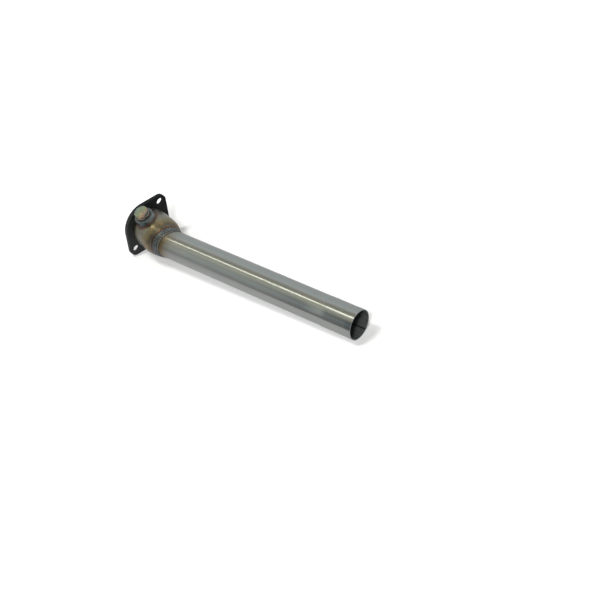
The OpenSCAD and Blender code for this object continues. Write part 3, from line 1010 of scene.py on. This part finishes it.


# Plug: thin plating whose hue drifts over its top, facets whose colours carry painted shade and painted
# reflection as well as the plating's hue, a painted glint on the top, a painted shadow line above the
# collar, and a duller collar
def plug_material():
    n = Finish("yellow_plating")
    slant = math.sqrt(0.5)
    cloud = n.noise(0.10, 2.0)
    rightward = n.along((0.0, slant, slant))
    frontward = n.along((0.0, slant, -slant))
    drift = n.math("ADD", rightward, n.math("MULTIPLY", frontward, 0.6))
    hue = n.ramp(n.wobble(drift, cloud, 16.0), (
        (-14.0, (0.25, 0.34, 0.44)), (-9.0, (0.33, 0.41, 0.35)), (-3.0, (0.37, 0.42, 0.29)),
        (5.0, (0.38, 0.42, 0.29)), (10.0, (0.52, 0.40, 0.28)), (14.0, (0.50, 0.33, 0.26))))
    # painted highlight: a pale glint spot painted on the top
    glint = n.math("SQRT", n.math("ADD", n.square((0.0, 1.0, 0.0), -5.0), n.square((0.0, 0.0, 1.0), 3.0)))
    hue = n.mix(n.ramp(n.wobble(glint, cloud, 2.0), ((1.2, 0.7), (2.6, 0.0))), hue, (0.80, 0.72, 0.60))
    # each facet's colour by its bearing: the dark grey facets are painted shade, the pale tan and pink
    # ones partly painted reflection and partly the plating's hue
    bearing = n.wobble(n.math("ARCTAN2", frontward, rightward), cloud, 0.8)
    facet_hue_and_shade = n.ramp(bearing, (
        (-math.pi, (0.40, 0.42, 0.30)), (-0.7, (0.20, 0.21, 0.215)), (0.6, (0.19, 0.20, 0.21)),
        (1.1, (0.50, 0.33, 0.22)), (1.8, (0.52, 0.37, 0.24)), (2.5, (0.34, 0.38, 0.32)),
        (math.pi, (0.40, 0.42, 0.30))))
    level = n.along((1.0, 0.0, 0.0))
    collar_top = body_r + boss_h + ring_t + collar_h
    top = collar_top + hex_h
    colour = n.mix(n.ramp(level, ((top - 0.35, 1.0), (top - 0.05, 0.0))), hue, facet_hue_and_shade)
    below = n.ramp(level, ((collar_top - 0.6, 1.0), (collar_top, 0.0)))
    colour = n.mix(below, colour, (0.42, 0.385, 0.33))
    # painted shadow: a dark line where the hexagon meets the collar, with no cut there
    painted_shadow_line = n.ramp(level, (
        (collar_top - 0.3, 0.0), (collar_top, 0.8), (collar_top + 0.3, 0.8), (collar_top + 0.7, 0.0)))
    colour = n.mix(painted_shadow_line, colour, (0.07, 0.06, 0.05))
    fine = n.noise(1.2)
    return n.finish(colour, n.ramp(fine, ((0.3, 0.24), (0.7, 0.36))), 1.0, n.bump(fine, 0.2, 0.00004))


finishes = (
    (flange, paint_material()),
    (body, body_material()),
    (tube, tube_material()),
    (tube_weld, seam_material()),
    (spatter, spatter_material()),
    (flange_weld, flange_bead_material()),
    (boss_weld, boss_bead_material()),
    (boss, boss_material()),
    (ring, ring_material()),
    (plug, plug_material()),
)
for piece, material in finishes:
    piece.data.materials.clear()
    piece.data.materials.append(material)
# the hidden CAD bodies take the same materials
for piece, node, _ in pieces:
    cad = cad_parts[node]
    cad.data.materials.clear()
    cad.data.materials.append(piece.data.materials[0])


# Floor: a plain pale sheet that shows white to the camera and keeps the pipe's shadow
def build_floor():
    half = 4.0
    pale_grey = 0.85
    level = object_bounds()[0].z
    under_pipe = (0.23, 0.0, level)
    mesh = bpy.data.meshes.new("floor")
    corners = [(x * half, y * half, level) for x, y in ((-1, -1), (1, -1), (1, 1), (-1, 1))]
    mesh.from_pydata(corners, [], [(0, 1, 2, 3)])
    floor = add_object("floor", mesh)
    material = bpy.data.materials.new("pale_floor")
    material.use_nodes = True
    s = Room(material.node_tree, "OutputMaterial")
    paint = s.add("BsdfDiffuse")
    paint.inputs[0].default_value = (pale_grey, pale_grey, pale_grey, 1.0)
    spot = s.add("NewGeometry").outputs["Position"]
    # the camera also sees a glow, which is weaker near the pipe, where the shadows lie
    away = s.add("VectorMath", "DISTANCE")
    s.join(spot, away.inputs[0])
    away.inputs[1].default_value = under_pipe
    glow = s.add("Emission")
    strength = s.ramp(away.outputs["Value"], ((0.26, 0.19), (0.40, 0.85)))
    s.join(s.math("MULTIPLY", s.path.outputs["Is Camera Ray"], strength), glow.inputs["Strength"])
    total = s.add("AddShader")
    s.join(paint.outputs[0], total.inputs[0])
    s.join(glow.outputs[0], total.inputs[1])
    # in the metal, the sheet is bright round the pipe and dims towards the front of the room
    split = s.add("SeparateXYZ")
    s.join(spot, split.inputs[0])
    flange_end = s.ramp(split.outputs[1], (
        (-0.50, 0.46), (-0.22, 0.50), (-0.14, 0.63), (-0.10, 0.68), (-0.06, 0.67), (-0.03, 0.50),
        (0.03, 0.50), (0.06, 0.58)))
    free_end = s.ramp(split.outputs[1], (
        (-0.50, 0.17), (-0.28, 0.17), (-0.19, 0.26), (-0.15, 0.48), (-0.12, 0.71), (-0.10, 0.77),
        (-0.06, 0.74), (-0.03, 0.50), (0.03, 0.50), (0.06, 0.58)))
    between = s.ramp(split.outputs[0], ((0.02, 0.0), (0.30, 1.0)))
    mirrored = s.add("Emission")
    s.join(s.mix(between, flange_end, free_end), mirrored.inputs[0])
    either = s.math("MAXIMUM", s.path.outputs["Is Glossy Ray"], s.path.outputs["Is Transmission Ray"])
    s.join(s.choose(either, total.outputs[0], mirrored.outputs[0]), s.output.inputs[0])
    mesh.materials.append(material)


build_floor()


# World: a pale room, brighter behind the pipe than before it, and white where the camera sees it
def build_world():
    world = bpy.data.worlds.new("room")
    bpy.context.scene.world = world
    world.use_nodes = True
    s = Room(world.node_tree, "OutputWorld")
    warm = (1.0, 1.01, 0.87)
    soft = (0.97, 1.02, 0.97)
    slate = (0.94, 1.03, 1.04)
    blue = (0.90, 1.03, 1.08)
    straw = (1.07, 1.04, 0.90)
    pale = (1.01, 1.01, 0.96)
    cool = (0.92, 0.99, 0.99)
    # level of the room by angle: 0 is the horizon in front, 90 overhead and 180 the horizon behind
    far = (
        (130, 0.735, cool), (140, 0.705, cool), (150, 0.69, cool), (165, 0.665, cool), (180, 0.645, cool))
    flange_end = (
        (-20, 0.52, soft), (3, 0.55, soft), (11, 0.59, soft), (19, 0.64, soft), (27, 0.64, soft),
        (35, 0.60, soft), (43, 0.63, warm), (50, 0.67, warm), (58, 0.75, warm), (65, 0.61, warm),
        (73, 0.50, warm), (88, 0.44, straw), (96, 0.43, straw), (104, 0.60, straw), (113, 0.76, pale),
        (121, 0.80, cool)) + far
    middle = (
        (-20, 0.42, slate), (0, 0.43, slate), (6, 0.46, slate), (14, 0.54, slate), (22, 0.57, slate),
        (29, 0.57, slate), (37, 0.57, soft), (44, 0.65, warm), (51, 0.70, warm), (58, 0.78, warm),
        (66, 0.58, warm), (73, 0.52, warm), (88, 0.45, straw), (95, 0.41, straw), (103, 0.50, straw),
        (112, 0.69, pale), (120, 0.76, cool)) + far
    free_end = (
        (-20, 0.18, blue), (1, 0.18, blue), (9, 0.22, blue), (17, 0.28, blue), (24, 0.27, blue),
        (31, 0.18, blue), (38, 0.22, slate), (45, 0.37, warm), (52, 0.49, warm), (59, 0.62, warm),
        (65, 0.52, warm), (69, 0.95, warm), (73, 1.35, warm), (78, 1.15, warm), (83, 0.62, warm),
        (88, 0.42, straw), (95, 0.39, straw), (103, 0.44, straw), (110, 0.64, pale),
        (119, 0.80, cool)) + far
    split = s.add("SeparateXYZ")
    s.join(s.add("TexCoord").outputs["Generated"], split.inputs[0])
    angle = s.math("ARCTAN2", split.outputs[2], s.math("MULTIPLY", split.outputs[1], -1.0))
    thirds = []
    for levels in (free_end, middle, flange_end):
        stops = [(math.radians(at), tuple(level * part for part in tint)) for at, level, tint in levels]
        thirds.append(s.ramp(angle, stops))
    room = s.mix(s.ramp(split.outputs[0], ((-0.53, 1.0), (-0.478, 0.0))), thirds[0], thirds[1])
    room = s.mix(s.ramp(split.outputs[0], ((-0.585, 1.0), (-0.53, 0.0))), room, thirds[2])
    # reflections show the room in full, and its soft light on surfaces is weaker, beside the lamps'
    mirrored_share = 1.0
    soft_share = 0.25
    shades = []
    for strength in (mirrored_share, soft_share):
        shade = s.add("Background")
        shade.inputs[1].default_value = strength
        s.join(room, shade.inputs[0])
        shades.append(shade.outputs[0])
    seen = s.add("Background")
    seen.inputs[0].default_value = (1.0, 1.0, 1.0, 1.0)
    lit = s.choose(s.path.outputs["Is Diffuse Ray"], shades[0], shades[1])
    s.join(s.choose(s.path.outputs["Is Camera Ray"], lit, seen.outputs[0]), s.output.inputs[0])


build_world()


# Lamps: one long strip that draws the bright line on the tube, and three soft ones for the shadows
def add_lamp(name, place, target, size, power, colour=(1.0, 1.0, 1.0), glossy=True):
    light = bpy.data.lights.new(name, "AREA")
    light.shape = "RECTANGLE"
    light.size = size[0]
    light.size_y = size[1]
    light.energy = power
    light.color = colour
    lamp = add_object(name, light)
    lamp.location = place
    lamp.rotation_euler = (Vector(target) - Vector(place)).to_track_quat("-Z", "Y").to_euler()
    lamp.visible_glossy = glossy
    lamp.visible_camera = False


add_lamp("strip_lamp", (-0.85, -0.39, 1.60), (-0.85, 0.0, 0.0), (2.4, 0.08), 2.7, (1.0, 0.985, 0.82))
add_lamp("rear_lamp", (-0.45, -0.85, 2.7), (0.2, 0.0, 0.0), (0.35, 0.8), 37.0, glossy=False)
add_lamp("low_lamp", (-1.3, 0.15, 2.4), (0.2, 0.0, 0.0), (0.4, 0.4), 6.0, glossy=False)
add_lamp("side_lamp", (1.34, -1.51, 1.73), (0.0, 0.0, 0.0), (0.3, 0.3), 37.0, glossy=False)


# Camera: the place, turn and lens that the photograph was fitted to, on a 600 by 600 frame
def build_camera():
    data = bpy.data.cameras.new("camera")
    data.sensor_width = 36.0
    data.lens = 65.65
    data.clip_end = 20.0
    camera = add_object("camera", data)
    camera.location = (1.29682, -0.95083, 1.07674)
    forward = Vector((-0.5472, 0.5427, -0.6372)).normalized()
    level = forward.cross(Vector((0, 0, 1))).normalized()
    upright = level.cross(forward)
    roll = math.radians(-11.17)
    right = math.cos(roll) * level + math.sin(roll) * upright
    up = right.cross(forward)
    camera.rotation_euler = Matrix((right, up, -forward)).transposed().to_euler()
    bpy.context.scene.camera = camera


build_camera()
bpy.context.scene.view_settings.view_transform = "Standard"
